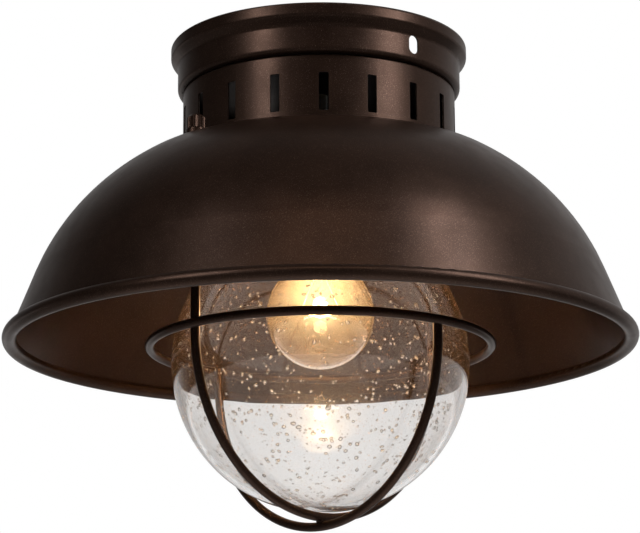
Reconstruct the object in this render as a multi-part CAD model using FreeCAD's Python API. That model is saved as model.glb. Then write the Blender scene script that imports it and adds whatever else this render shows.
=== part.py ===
import FreeCAD, Part

import math
import os

# Porch ceiling lantern: canopy, vented collar, domed shade, seeded glass globe in a wire guard.
# Millimetres, +Z up. The origin is the centre of the canopy's top, in the ceiling plane, so
# everything lies below z = 0. Azimuths are measured from the front (-Y), positive towards +X.

# ---- driving dimensions ----------------------------------------------------------------------

# Heights of the stack, from the ceiling down
CANOPY_HEIGHT = 27.0
COLLAR_HEIGHT = 38.2
SHADE_HEIGHT = 104.8           # crown to the centre of the rim bead

# Canopy, a drawn cup with a wider band against the ceiling
CANOPY_OVERHANG = 3.05         # canopy body beyond the collar
CANOPY_STEP = 3.95             # band beyond the body
CANOPY_BAND_HEIGHT = 7.0
CANOPY_STEP_HEIGHT = 4.5
CANOPY_STEP_ROUND = 2.6
CANOPY_CORNER_ROUND = 3.0
CANOPY_LIP = 6.0               # turned-in lip that lies on the ceiling
CANOPY_LIP_ROUND = 1.5
CANOPY_WALL = 1.0
SIDE_SLOT_AZIMUTH = 40.5
SIDE_SLOT_WIDTH = 6.7
SIDE_SLOT_HEIGHT = 10.4
SIDE_SLOT_DROP = 16.9          # ceiling to the slot's centre

# Vented collar
NUT_SPACE = 13.75              # outside of the collar to the axis of a stud
COLLAR_WALL = 1.0
COLLAR_FLANGE = 6.5
COLLAR_ROUND = 1.3
VENT_COUNT = 18
VENT_WIDTH = 5.3
VENT_HEIGHT = 21.2
VENT_ROUND = 0.8
VENT_RISE = 6.7                # crown to the lower end of a vent
VENT_AZIMUTH = 2.0             # the vent nearest the front

# Spun shade with a rolled bead
RIM_R = 175.0                  # outside of the bead
BEAD_R = 4.0
CURL_LAP = 6.49                # the bead's closed end, past the skirt's middle
CURL_OPENING = 45.0            # from the closed end to the open one, inside the skirt
SHADE_WALL = 1.2
CROWN_SETBACK = 6.15           # the shoulder starts this far inside the studs
SHOULDER_ROUND = 34.0
SHOULDER_ANGLE = 30.0          # slope where the shoulder passes into the dome
SKIRT_LENGTH = 36.9            # straight slope that ends in the bead
STUD_PAD_R = 5.6
STUD_PAD_THICKNESS = 3.0

# Wire guard
WIRE_R = 2.5
GUARD_GAP = 5.55               # globe to the upright legs
RING_DROP = 2.0                # rim bead down to the ring
RING_WELD_SET = 1.2            # how deep the weld presses the ring onto the legs
GUARD_AZIMUTH = -47.0          # front leg of the long hoop
SHORT_HOOP_END_RISE = 1.2      # short hoop's ends above the ring's centre
STOP_R = 4.6
STOP_THICKNESS = 1.6
STUD_R = 2.08
STUD_TIP_GAP = 0.5             # tip of a stud below the roof of its nut

# Thumb nuts on the studs
NUT_R = 4.9
NUT_HEIGHT = 8.0
NUT_ROOF = 1.0
NUT_CHAMFER = 0.6
NUT_DOME = 1.1
KNURL_COUNT = 24
KNURL_DEPTH = 0.4
WASHER_R = 5.2
WASHER_THICKNESS = 0.7

# Glass globe
GLOBE_R = 82.4
GLOBE_DROP = 11.1              # rim bead down to the globe's centre
GLOBE_WALL = 3.0
GLOBE_NECK_R = 50.0
GLOBE_CONE_ANGLE = 45.0
GLOBE_NECK_ROUND = 20.0
GLOBE_LIP_REACH = 3.0          # lip beyond the neck
GLOBE_LIP_HEIGHT = 4.0
GLOBE_LIP_ROUND = 1.2
GASKET_THICKNESS = 2.0
GASKET_OVERHANG = 2.0

# Mounting strap, nipple and nuts
STRAP_END = 5.05               # steel beyond a slot
STRAP_WIDTH = 24.0
STRAP_THICKNESS = 2.0
STRAP_ROUND = 5.0
BOX_SPACING_SMALL = 69.85      # screw spacings of round outlet boxes
BOX_SPACING_LARGE = 88.9
BOX_SLOT_R = 2.5
GROUND_SCREW_OFFSET = 20.0
GROUND_SCREW_R = 2.0
GROUND_HEAD_R = 4.2
GROUND_HEAD_HEIGHT = 2.6
GROUND_SLOT_WIDTH = 0.9
GROUND_SLOT_DEPTH = 1.0
NIPPLE_R = 4.85
NIPPLE_BORE_R = 3.4
HEX_ACROSS_FLATS = 14.5
HEX_THICKNESS = 4.0
HEX_CHAMFER = 0.8
SOCKET_NUT_THICKNESS = 3.2
LOCK_WASHER_R = 8.5
LOCK_WASHER_THICKNESS = 1.0

# Lampholder
HOLDER_CAP_WALL = 1.0
HOLDER_CAP_DEPTH = 12.0
HOLDER_CAP_ROUND = 2.5
HOLDER_WALL = 5.65             # porcelain round the screw shell
HOLDER_RIM_DROP = 1.5          # porcelain below the screw shell
HOLDER_ROOF = 6.4
HOLDER_ROUND = 1.6
SCREW_SHELL_WALL = 0.4
SCREW_SHELL_LENGTH = 26.5
SCREW_SHELL_EYE_R = 8.0
CENTRE_CONTACT_R = 3.5
CENTRE_CONTACT_HEIGHT = 2.0
TERMINAL_DROP = 14.0           # top of the lampholder down to the terminal screws
TERMINAL_R = 1.6
TERMINAL_HEAD_R = 3.2
TERMINAL_HEAD_HEIGHT = 1.8
TERMINAL_REACH = 3.0           # shank inside the porcelain

# Lamp
BULB_R = 30.0
BULB_LENGTH = 105.0            # contact to the tip of the glass
BULB_WALL = 0.8
BULB_CONE_ANGLE = 35.0
BULB_NECK_ROUND = 25.0
LAMP_CAP_R = 13.0
LAMP_CAP_WALL = 0.35
LAMP_CAP_LENGTH = 19.5
LAMP_CAP_NECK_LAP = 12.0       # neck of the glass held inside the cap
INSULATOR_HEIGHT = 3.6
INSULATOR_R = 9.0
EYELET_R = 4.5
EYELET_HEIGHT = 1.9
STEM_R = 3.4
STEM_LENGTH = 36.0
STEM_FLARE_HEIGHT = 1.4
LEAD_R = 0.4
LEAD_SPREAD = 11.0             # half the distance between the lead tips
LEAD_ROOT = 1.8
LEAD_LENGTH = 22.0
FILAMENT_R = 0.55
FILAMENT_SAG = 3.5

# Clearances
SEAT_GAP = 0.3                 # glass above the wire that carries it
WELD_GAP = 0.05                # wires that are welded where they meet
THREAD_GAP = 0.08              # stud in its nut
HOLE_GAP = 0.35                # stud in a plain hole
FIT_GAP = 0.1                  # pieces of one body, one inside the other
CAP_GAP = 0.35                 # lamp cap in the screw shell
CUT_OVERRUN = 5.0              # how far a cutting tool passes through

# ---- derived levels and radii ----------------------------------------------------------------

z_collar = -CANOPY_HEIGHT
z_crown = z_collar - COLLAR_HEIGHT
z_rim = z_crown - SHADE_HEIGHT
z_under_crown = z_crown - SHADE_WALL
z_ring = z_rim - RING_DROP
z_globe = z_rim - GLOBE_DROP
z_globe_top = z_under_crown - GASKET_THICKNESS
globe_lip_r = GLOBE_NECK_R + GLOBE_LIP_REACH

hoop_r = GLOBE_R + GUARD_GAP + WIRE_R
ring_r = hoop_r + 2 * WIRE_R + WELD_GAP - RING_WELD_SET
collar_r = hoop_r - NUT_SPACE
canopy_body_r = collar_r + CANOPY_OVERHANG
canopy_band_r = canopy_body_r + CANOPY_STEP
crown_flat_r = hoop_r - CROWN_SETBACK
z_long_bend = z_globe - GLOBE_R - SEAT_GAP - WIRE_R + hoop_r
z_short_bend = z_long_bend - 2 * WIRE_R - WELD_GAP
z_pad_under = z_crown - STUD_PAD_THICKNESS
nut_bore_depth = NUT_HEIGHT - NUT_ROOF
z_stud_tip = z_crown + WASHER_THICKNESS + nut_bore_depth - STUD_TIP_GAP

z_holder_nut = z_under_crown - HOLDER_CAP_WALL
z_holder = z_holder_nut - SOCKET_NUT_THICKNESS
z_holder_roof = z_holder - HOLDER_ROOF
z_lamp = z_holder_roof - CENTRE_CONTACT_HEIGHT
z_lamp_cap = z_lamp - EYELET_HEIGHT - INSULATOR_HEIGHT
z_lamp_skirt = z_lamp_cap - LAMP_CAP_LENGTH
z_bulb = z_lamp - BULB_LENGTH + BULB_R
z_bulb_neck = z_lamp_skirt + LAMP_CAP_NECK_LAP
bulb_neck_r = LAMP_CAP_R - LAMP_CAP_WALL - FIT_GAP
screw_shell_r = LAMP_CAP_R + CAP_GAP + SCREW_SHELL_WALL
holder_r = screw_shell_r + FIT_GAP + HOLDER_WALL
z_holder_rim = z_holder_roof - SCREW_SHELL_LENGTH - HOLDER_RIM_DROP

AXIS = FreeCAD.Vector(0, 0, 1)
CENTRE = FreeCAD.Vector(0, 0, 0)


# ---- profiles --------------------------------------------------------------------------------

def rounded_face(points, radii):
    """A closed outline in the X-Z plane whose corners are rounded by tangent arcs."""
    count = len(points)
    corners = []
    for i, radius in enumerate(radii):
        here = FreeCAD.Vector(points[i][0], 0, points[i][1])
        before = FreeCAD.Vector(points[i - 1][0], 0, points[i - 1][1]) - here
        after_point = points[(i + 1) % count]
        after = FreeCAD.Vector(after_point[0], 0, after_point[1]) - here
        before.normalize()
        after.normalize()
        if radius == 0:
            corners.append((here, None, here))
            continue
        half = before.getAngle(after) / 2
        reach = radius / math.tan(half)
        middle = before + after
        middle.normalize()
        on_arc = here + middle * (radius / math.sin(half) - radius)
        corners.append((here + before * reach, on_arc, here + after * reach))
    edges = []
    for i, (start, on_arc, end) in enumerate(corners):
        if on_arc is not None:
            edges.append(Part.Arc(start, on_arc, end).toShape())
        following = corners[(i + 1) % count][0]
        if end.distanceToPoint(following) > 1e-6:
            edges.append(Part.LineSegment(end, following).toShape())
    return Part.Face(Part.Wire(edges))


def offset_path(points, distance):
    """An open path shifted to its left by a distance, its corners mitred."""
    directions = []
    for (r0, z0), (r1, z1) in zip(points, points[1:]):
        length = math.hypot(r1 - r0, z1 - z0)
        directions.append(((r1 - r0) / length, (z1 - z0) / length))
    shifted = []
    for i, (r, z) in enumerate(points):
        ur, uz = directions[max(i - 1, 0)]
        vr, vz = directions[min(i, len(directions) - 1)]
        share = distance / (1 + ur * vr + uz * vz)
        shifted.append((r - (uz + vz) * share, z + (ur + vr) * share))
    return shifted


def sheet_face(points, radii, wall):
    """Sheet metal along an open path: the path is its outside, a positive wall lies to its left."""
    inner_radii = [0] * len(radii)
    for i in range(1, len(radii) - 1):
        (r0, z0), (r1, z1), (r2, z2) = points[i - 1], points[i], points[i + 1]
        turns_left = (r1 - r0) * (z2 - z1) > (z1 - z0) * (r2 - r1)
        inner_radii[i] = radii[i] - wall if turns_left else radii[i] + wall
    inner = offset_path(points, wall)
    return rounded_face(points + inner[::-1], radii + inner_radii[::-1])


def revolved(face):
    return face.revolve(CENTRE, AXIS, 360)


def tube(outer_r, inner_r, z_low, height):
    outer = Part.makeCylinder(outer_r, height, FreeCAD.Vector(0, 0, z_low))
    inner = Part.makeCylinder(inner_r, height, FreeCAD.Vector(0, 0, z_low))
    return outer.cut(inner)


def turned(shape, azimuth):
    """A copy of a shape made at the front, turned to its azimuth."""
    copy = shape.copy()
    copy.rotate(CENTRE, AXIS, azimuth)
    return copy


def moved(shape, x, y, z):
    copy = shape.copy()
    copy.translate(FreeCAD.Vector(x, y, z))
    return copy


def blown_glass(neck_r, z_top, ball_r, z_ball, cone_angle, neck_round, inset):
    """A ball that runs through a short cone and a rounded shoulder into a straight neck."""
    ball = ball_r - inset
    neck = neck_r - inset
    cone = math.radians(cone_angle)
    z_equator_corner = z_ball + ball * math.tan(cone / 2)
    z_neck_corner = z_equator_corner + (ball - neck) / math.tan(cone)
    points = [(0, z_top), (neck, z_top), (neck, z_neck_corner), (ball, z_equator_corner),
              (ball, z_ball - ball), (0, z_ball - ball)]
    return revolved(rounded_face(points, [0, 0, neck_round + inset, ball, ball, 0]))


# ---- canopy and what hangs the lantern -------------------------------------------------------

def hexagon(z_top, thickness):
    """A hex nut on the nipple, its corners chamfered on both faces."""
    corner_r = HEX_ACROSS_FLATS / 2 / math.cos(math.pi / 6)
    corners = []
    for i in range(7):
        turn = math.radians(60 * i)
        corners.append(FreeCAD.Vector(corner_r * math.cos(turn), corner_r * math.sin(turn), 0))
    prism = Part.Face(Part.makePolygon(corners)).extrude(AXIS * thickness)
    low = (corner_r - HEX_CHAMFER, 0)
    high = (corner_r - HEX_CHAMFER, thickness)
    points = [(0, 0), low, (corner_r, HEX_CHAMFER / 2), (corner_r, thickness - HEX_CHAMFER / 2),
              high, (0, thickness)]
    body = prism.common(revolved(rounded_face(points, [0] * len(points))))
    bore = Part.makeCylinder(NIPPLE_R + FIT_GAP, thickness)
    return moved(body.cut(bore), 0, 0, z_top - thickness)


def mounting_strap():
    """Steel strap across the outlet box, with slots for both usual screw spacings."""
    half = BOX_SPACING_LARGE / 2 + BOX_SLOT_R + STRAP_END
    side = STRAP_WIDTH / 2
    corners = [(-side, -half), (side, -half), (side, half), (-side, half)]
    plate = rounded_face(corners, [STRAP_ROUND] * 4)
    plate.rotate(CENTRE, FreeCAD.Vector(1, 0, 0), -90)
    strap = plate.extrude(AXIS * -STRAP_THICKNESS)
    top = CUT_OVERRUN
    through = STRAP_THICKNESS + 2 * CUT_OVERRUN
    low = FreeCAD.Vector(0, 0, top - through)
    strap = strap.cut(Part.makeCylinder(NIPPLE_R + FIT_GAP, through, low))
    for way in (-1, 1):
        ends = []
        for spacing in (BOX_SPACING_SMALL, BOX_SPACING_LARGE):
            place = FreeCAD.Vector(0, way * spacing / 2, top - through)
            ends.append(Part.makeCylinder(BOX_SLOT_R, through, place))
        middle = Part.makeBox(2 * BOX_SLOT_R, (BOX_SPACING_LARGE - BOX_SPACING_SMALL) / 2, through)
        start = BOX_SPACING_SMALL / 2 if way > 0 else -BOX_SPACING_LARGE / 2
        middle = moved(middle, -BOX_SLOT_R, start, top - through)
        strap = strap.cut(ends[0].fuse([ends[1], middle]))
    place = FreeCAD.Vector(0, GROUND_SCREW_OFFSET, top - through)
    return strap.cut(Part.makeCylinder(GROUND_SCREW_R + FIT_GAP, through, place))


def ground_screw():
    """Slotted pan-head screw for the earth wire, in the strap."""
    z_head = -STRAP_THICKNESS
    points = [(0, z_head), (GROUND_HEAD_R, z_head), (GROUND_HEAD_R, z_head - GROUND_HEAD_HEIGHT),
              (0, z_head - GROUND_HEAD_HEIGHT)]
    head = revolved(rounded_face(points, [0, 0, GROUND_HEAD_HEIGHT / 2, 0]))
    slot = Part.makeBox(2 * GROUND_HEAD_R, GROUND_SLOT_WIDTH, GROUND_SLOT_DEPTH + CUT_OVERRUN)
    slot = moved(slot, -GROUND_HEAD_R, -GROUND_SLOT_WIDTH / 2,
                 z_head - GROUND_HEAD_HEIGHT - CUT_OVERRUN)
    shank = Part.makeCylinder(GROUND_SCREW_R, STRAP_THICKNESS, FreeCAD.Vector(0, 0, z_head))
    return moved(head.cut(slot).fuse(shank), 0, GROUND_SCREW_OFFSET, 0)


def canopy():
    """Drawn steel cup: turned-in lip, ceiling band, step, body and flat bottom."""
    z_body = -CANOPY_BAND_HEIGHT - CANOPY_STEP_HEIGHT
    points = [(NIPPLE_R + FIT_GAP, z_collar), (canopy_body_r, z_collar), (canopy_body_r, z_body),
              (canopy_band_r, -CANOPY_BAND_HEIGHT), (canopy_band_r, 0),
              (canopy_band_r - CANOPY_LIP, 0)]
    radii = [0, CANOPY_CORNER_ROUND, CANOPY_STEP_ROUND, CANOPY_STEP_ROUND, CANOPY_LIP_ROUND, 0]
    cup = revolved(sheet_face(points, radii, CANOPY_WALL))
    half_w = SIDE_SLOT_WIDTH / 2
    half_h = SIDE_SLOT_HEIGHT / 2
    corners = [(-half_w, -SIDE_SLOT_DROP - half_h), (half_w, -SIDE_SLOT_DROP - half_h),
               (half_w, -SIDE_SLOT_DROP + half_h), (-half_w, -SIDE_SLOT_DROP + half_h)]
    slot = rounded_face(corners, [half_w] * 4).extrude(FreeCAD.Vector(0, -canopy_band_r, 0))
    for side in (0, 180):
        cup = cup.cut(turned(slot, SIDE_SLOT_AZIMUTH + side))
    return cup


def nipple():
    """Hollow threaded tube that clamps the stack, from the strap down to the lampholder."""
    return tube(NIPPLE_R, NIPPLE_BORE_R, z_holder, -z_holder)


def lock_washer():
    """Plain washer between the canopy's bottom and its nut."""
    return tube(LOCK_WASHER_R, NIPPLE_R + FIT_GAP, z_collar + CANOPY_WALL, LOCK_WASHER_THICKNESS)


# ---- collar and shade ------------------------------------------------------------------------

def vented_collar():
    """Short tube with inward flanges and a ring of upright vents."""
    inner = collar_r - COLLAR_FLANGE
    points = [(inner, z_crown), (collar_r, z_crown), (collar_r, z_collar), (inner, z_collar)]
    collar = revolved(sheet_face(points, [0, COLLAR_ROUND, COLLAR_ROUND, 0], COLLAR_WALL))
    half = VENT_WIDTH / 2
    z_low = z_crown + VENT_RISE
    z_high = z_low + VENT_HEIGHT
    corners = [(-half, z_low), (half, z_low), (half, z_high), (-half, z_high)]
    vent = rounded_face(corners, [VENT_ROUND] * 4).extrude(FreeCAD.Vector(0, -collar_r - CUT_OVERRUN, 0))
    vents = [turned(vent, VENT_AZIMUTH + 360 / VENT_COUNT * i) for i in range(VENT_COUNT)]
    return collar.cut(vents)


def shade():
    """Spun dome: flat crown, shoulder, dome arc and skirt, its rim curled into a bead."""
    a = math.radians(SHOULDER_ANGLE)
    bead_centre_r = RIM_R - BEAD_R
    # From the shoulder's end to the bead's centre: the dome arc is tangent to the shoulder, and
    # the skirt is tangent to the dome arc, so its length sets the arc's radius and end slope b.
    r_gap = bead_centre_r + SHADE_WALL / 2 - crown_flat_r - SHOULDER_ROUND * math.sin(a)
    z_gap = SHADE_HEIGHT - SHOULDER_ROUND * (1 - math.cos(a))
    square = r_gap ** 2 + z_gap ** 2 - SKIRT_LENGTH ** 2
    dome_r = square / 2 / (z_gap * math.cos(a) - r_gap * math.sin(a))
    end_r = r_gap + dome_r * math.sin(a)
    end_z = dome_r * math.cos(a) - z_gap
    b = math.atan2(end_r, end_z) - math.atan(SKIRT_LENGTH / dome_r)
    skirt = SKIRT_LENGTH - BEAD_R + SHADE_WALL / 2
    shoulder_reach = SHOULDER_ROUND * math.tan(a / 2)
    dome_reach = dome_r * math.tan((b - a) / 2)
    first = (crown_flat_r + shoulder_reach, z_crown)
    slant = shoulder_reach + dome_reach
    second = (first[0] + slant * math.cos(a), first[1] - slant * math.sin(a))
    length = dome_reach + skirt
    foot = (second[0] + length * math.cos(b), second[1] - length * math.sin(b))
    points = [(NIPPLE_R + FIT_GAP, z_crown), first, second, foot]
    dome = revolved(sheet_face(points, [0, SHOULDER_ROUND, dome_r, 0], -SHADE_WALL))
    shell = dome.fuse(rim_bead(bead_centre_r, math.degrees(b))).removeSplitter()
    stud = Part.makeCylinder(STUD_R + HOLE_GAP, STUD_PAD_THICKNESS + 2 * CUT_OVERRUN)
    for azimuth in (GUARD_AZIMUTH, GUARD_AZIMUTH + 180):
        pad = Part.makeCylinder(STUD_PAD_R, STUD_PAD_THICKNESS)
        shell = shell.fuse(turned(moved(pad, 0, -hoop_r, z_pad_under), azimuth))
        hole = turned(moved(stud, 0, -hoop_r, z_pad_under - CUT_OVERRUN), azimuth)
        shell = shell.cut(hole)
    return shell


def rim_bead(centre_r, slope):
    """The curl at the rim: sheet rolled outwards and round, open inside the skirt."""
    curl_r = BEAD_R - SHADE_WALL
    closed = 180 - slope - CURL_LAP
    ends = []
    for turn in (closed + CURL_OPENING, closed + CURL_OPENING / 2 + 180, closed + 360):
        angle = math.radians(turn)
        ends.append(FreeCAD.Vector(math.cos(angle), 0, math.sin(angle)))
    middle = FreeCAD.Vector(centre_r, 0, z_rim)
    outer = [middle + end * BEAD_R for end in ends]
    inner = [middle + end * curl_r for end in ends]
    edges = [Part.Arc(*outer).toShape(), Part.LineSegment(outer[2], inner[2]).toShape(),
             Part.Arc(*inner).toShape(), Part.LineSegment(inner[0], outer[0]).toShape()]
    return revolved(Part.Face(Part.Wire(Part.__sortEdges__(edges))))


# ---- wire guard ------------------------------------------------------------------------------

def hoop(z_bend, z_end):
    """A wire bent to half a circle with two upright legs, in the X-Z plane."""
    left = FreeCAD.Vector(-hoop_r, 0, z_bend)
    right = FreeCAD.Vector(hoop_r, 0, z_bend)
    left_end = FreeCAD.Vector(-hoop_r, 0, z_end)
    right_end = FreeCAD.Vector(hoop_r, 0, z_end)
    bottom = FreeCAD.Vector(0, 0, z_bend - hoop_r)
    path = Part.Wire([Part.LineSegment(left_end, left).toShape(),
                      Part.Arc(left, bottom, right).toShape(),
                      Part.LineSegment(right, right_end).toShape()])
    section = Part.Wire(Part.makeCircle(WIRE_R, left_end, AXIS))
    return path.makePipeShell([section], True, False)


def guard_hoop_long():
    """The inner hoop: its legs carry stop collars under the crown and threaded studs above."""
    wire = hoop(z_long_bend, z_pad_under)
    ends = []
    for side in (-1, 1):
        foot = FreeCAD.Vector(side * hoop_r, 0, z_pad_under)
        ends.append(Part.makeCylinder(STUD_R, z_stud_tip - z_pad_under, foot))
        ends.append(Part.makeCylinder(STOP_R, STOP_THICKNESS, foot - AXIS * STOP_THICKNESS))
    return turned(wire.fuse(ends), GUARD_AZIMUTH + 90)


def guard_hoop_short():
    """The outer hoop: it passes below the long one and ends inside the ring."""
    return turned(hoop(z_short_bend, z_ring + SHORT_HOOP_END_RISE), GUARD_AZIMUTH)


def guard_ring():
    """A ring pressed onto the outside of the legs by its four welds."""
    ring = Part.makeTorus(ring_r, WIRE_R, FreeCAD.Vector(0, 0, z_ring), AXIS)
    leg_tops = (2 * WIRE_R, SHORT_HOOP_END_RISE + WELD_GAP)
    for quarter in range(4):
        leg = Part.makeCylinder(WIRE_R + WELD_GAP, 2 * WIRE_R + leg_tops[quarter % 2])
        leg = moved(leg, 0, -hoop_r, z_ring - 2 * WIRE_R)
        ring = ring.cut(turned(leg, GUARD_AZIMUTH + 90 * quarter))
    return ring


# ---- thumb nuts ------------------------------------------------------------------------------

def thumb_nut():
    """Upright knurled nut with a domed, closed top, at the front of the stud circle."""
    flutes = []
    for i in range(2 * KNURL_COUNT + 1):
        turn = math.pi / KNURL_COUNT * i
        r = NUT_R - KNURL_DEPTH * (i % 2)
        flutes.append(FreeCAD.Vector(r * math.cos(turn), r * math.sin(turn), 0))
    knurl = Part.Face(Part.makePolygon(flutes)).extrude(AXIS * NUT_HEIGHT)
    edge_r = NUT_R - NUT_CHAMFER
    z_edge = NUT_HEIGHT - NUT_DOME
    face_r = edge_r - NUT_DOME
    points = [(0, 0), (edge_r, 0), (NUT_R, NUT_CHAMFER), (NUT_R, z_edge - NUT_CHAMFER),
              (edge_r, z_edge), (face_r, NUT_HEIGHT), (0, NUT_HEIGHT)]
    body = knurl.common(revolved(rounded_face(points, [0, 0, 0, 0, 0, NUT_DOME, 0])))
    body = body.cut(Part.makeCylinder(STUD_R + THREAD_GAP, nut_bore_depth))
    return moved(body, 0, -hoop_r, z_crown + WASHER_THICKNESS)


def stud_washer():
    return moved(tube(WASHER_R, STUD_R + HOLE_GAP, z_crown, WASHER_THICKNESS), 0, -hoop_r, 0)


# ---- glass globe -----------------------------------------------------------------------------

def glass_globe():
    """Blown ball with a short cone, a straight neck and a rounded lip."""
    sizes = (GLOBE_NECK_R, z_globe_top, GLOBE_R, z_globe, GLOBE_CONE_ANGLE, GLOBE_NECK_ROUND)
    points = [(0, z_globe_top), (globe_lip_r, z_globe_top),
              (globe_lip_r, z_globe_top - GLOBE_LIP_HEIGHT), (0, z_globe_top - GLOBE_LIP_HEIGHT)]
    lip = revolved(rounded_face(points, [0, GLOBE_LIP_ROUND, GLOBE_LIP_ROUND, 0]))
    return blown_glass(*sizes, 0).fuse(lip).cut(blown_glass(*sizes, GLOBE_WALL))


def glass_gasket():
    """Flat ring between the crown and the globe's lip."""
    inner_r = GLOBE_NECK_R - GLOBE_WALL
    return tube(globe_lip_r + GASKET_OVERHANG, inner_r, z_globe_top, GASKET_THICKNESS)


# ---- lampholder ------------------------------------------------------------------------------

def holder_cap():
    """Pressed cup on the nipple that covers the top of the lampholder."""
    outer = holder_r + FIT_GAP + HOLDER_CAP_WALL
    points = [(NIPPLE_R + FIT_GAP, z_under_crown), (outer, z_under_crown),
              (outer, z_under_crown - HOLDER_CAP_DEPTH)]
    return revolved(sheet_face(points, [0, HOLDER_CAP_ROUND, 0], -HOLDER_CAP_WALL))


def holder_body():
    """Porcelain cup that holds the screw shell and the centre contact."""
    points = [(0, z_holder), (holder_r, z_holder), (holder_r, z_holder_rim), (0, z_holder_rim)]
    body = revolved(rounded_face(points, [0, HOLDER_ROUND, HOLDER_ROUND, 0]))
    cavity_r = screw_shell_r + FIT_GAP
    low = FreeCAD.Vector(0, 0, z_holder_rim)
    body = body.cut(Part.makeCylinder(cavity_r, z_holder_roof - z_holder_rim, low))
    return body.cut([turned(terminal_screw(), side) for side in (0, 180)])


def terminal_screw():
    """Side screw for a supply wire, to the right of the lampholder."""
    out = FreeCAD.Vector(1, 0, 0)
    z = z_holder - TERMINAL_DROP
    inside = FreeCAD.Vector(holder_r - TERMINAL_REACH, 0, z)
    surface = FreeCAD.Vector(holder_r, 0, z)
    shank = Part.makeCylinder(TERMINAL_R, TERMINAL_REACH, inside, out)
    head = Part.makeCylinder(TERMINAL_HEAD_R, TERMINAL_HEAD_HEIGHT, surface, out)
    return head.fuse(shank)


def screw_shell():
    """Threaded brass cup that takes the lamp's cap."""
    points = [(SCREW_SHELL_EYE_R, z_holder_roof), (screw_shell_r, z_holder_roof),
              (screw_shell_r, z_holder_roof - SCREW_SHELL_LENGTH)]
    return revolved(sheet_face(points, [0, 2 * SCREW_SHELL_WALL, 0], -SCREW_SHELL_WALL))


def centre_contact():
    points = [(0, z_lamp), (CENTRE_CONTACT_R, z_lamp), (CENTRE_CONTACT_R, z_holder_roof),
              (0, z_holder_roof)]
    return revolved(rounded_face(points, [0, CENTRE_CONTACT_HEIGHT / 4, 0, 0]))


# ---- lamp ------------------------------------------------------------------------------------

def bulb_glass():
    sizes = (bulb_neck_r, z_bulb_neck, BULB_R, z_bulb, BULB_CONE_ANGLE, BULB_NECK_ROUND)
    return blown_glass(*sizes, 0).cut(blown_glass(*sizes, BULB_WALL))


def lamp_cap():
    """Metal cap of the lamp, open below where the glass is cemented in."""
    points = [(INSULATOR_R, z_lamp_cap), (LAMP_CAP_R, z_lamp_cap), (LAMP_CAP_R, z_lamp_skirt)]
    return revolved(sheet_face(points, [0, 2 * LAMP_CAP_WALL, 0], -LAMP_CAP_WALL))


def lamp_insulator():
    z_top = z_lamp_cap + INSULATOR_HEIGHT
    points = [(0, z_lamp_cap - LAMP_CAP_WALL), (INSULATOR_R, z_lamp_cap - LAMP_CAP_WALL),
              (INSULATOR_R, z_lamp_cap), (EYELET_R, z_top), (0, z_top)]
    return revolved(rounded_face(points, [0] * 5))


def lamp_eyelet():
    points = [(0, z_lamp - EYELET_HEIGHT), (EYELET_R, z_lamp - EYELET_HEIGHT), (EYELET_R, z_lamp),
              (0, z_lamp)]
    return revolved(rounded_face(points, [0, 0, EYELET_HEIGHT / 2, 0]))


def lamp_stem():
    """Glass mount inside the bulb: a flare in the neck and a rod below it."""
    flare_r = bulb_neck_r - BULB_WALL - FIT_GAP
    z_flare = z_bulb_neck - STEM_FLARE_HEIGHT
    flare = Part.makeCylinder(flare_r, STEM_FLARE_HEIGHT, FreeCAD.Vector(0, 0, z_flare))
    rod = Part.makeCylinder(STEM_R, STEM_LENGTH, FreeCAD.Vector(0, 0, z_flare - STEM_LENGTH))
    return flare.fuse(rod)


def lead_ends():
    """Root and tip of the right-hand lead wire."""
    z_root = z_bulb_neck - STEM_FLARE_HEIGHT - STEM_LENGTH
    root = FreeCAD.Vector(LEAD_ROOT, 0, z_root)
    return root, FreeCAD.Vector(LEAD_SPREAD, 0, z_root - LEAD_LENGTH)


def rod_between(start, end, radius):
    return Part.makeCylinder(radius, start.distanceToPoint(end), start, end - start)


def lamp_lead():
    """Right-hand lead wire, sealed into the foot of the stem."""
    root, tip = lead_ends()
    return rod_between(root + AXIS * LEAD_R, tip, LEAD_R).cut(lamp_stem())


def filament():
    """Coiled filament as two straight runs that sag to the middle."""
    tip = lead_ends()[1]
    middle = FreeCAD.Vector(0, 0, tip.z - FILAMENT_SAG)
    runs = []
    for side in (-1, 1):
        end = FreeCAD.Vector(side * tip.x, 0, tip.z - FILAMENT_R)
        runs.append(rod_between(end, middle, FILAMENT_R))
    return runs[0].fuse([runs[1], Part.makeSphere(FILAMENT_R, middle)])


# ---- the nodes -------------------------------------------------------------------------------

parts = {
    "canopy": canopy(),
    "mounting_strap": mounting_strap(),
    "ground_screw": ground_screw(),
    "nipple": nipple(),
    "strap_nut": hexagon(-STRAP_THICKNESS, HEX_THICKNESS),
    "canopy_lock_washer": lock_washer(),
    "canopy_nut": hexagon(z_collar + CANOPY_WALL + LOCK_WASHER_THICKNESS + HEX_THICKNESS,
                          HEX_THICKNESS),
    "vented_collar": vented_collar(),
    "shade": shade(),
    "holder_nut": hexagon(z_holder_nut, SOCKET_NUT_THICKNESS),
    "holder_cap": holder_cap(),
    "holder_body": holder_body(),
    "screw_shell": screw_shell(),
    "centre_contact": centre_contact(),
    "guard_hoop_long": guard_hoop_long(),
    "guard_hoop_short": guard_hoop_short(),
    "guard_ring": guard_ring(),
    "glass_globe": glass_globe(),
    "glass_gasket": glass_gasket(),
    "bulb_glass": bulb_glass(),
    "lamp_cap": lamp_cap(),
    "lamp_insulator": lamp_insulator(),
    "lamp_eyelet": lamp_eyelet(),
    "lamp_stem": lamp_stem(),
    "filament": filament(),
}
for name, side in (("front", 0), ("back", 180)):
    parts["stud_washer_" + name] = turned(stud_washer(), GUARD_AZIMUTH + side)
    parts["thumb_nut_" + name] = turned(thumb_nut(), GUARD_AZIMUTH + side)
for name, side in (("right", 0), ("left", 180)):
    parts["terminal_screw_" + name] = turned(terminal_screw(), side)
    parts["lamp_lead_" + name] = turned(lamp_lead(), side)

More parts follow.
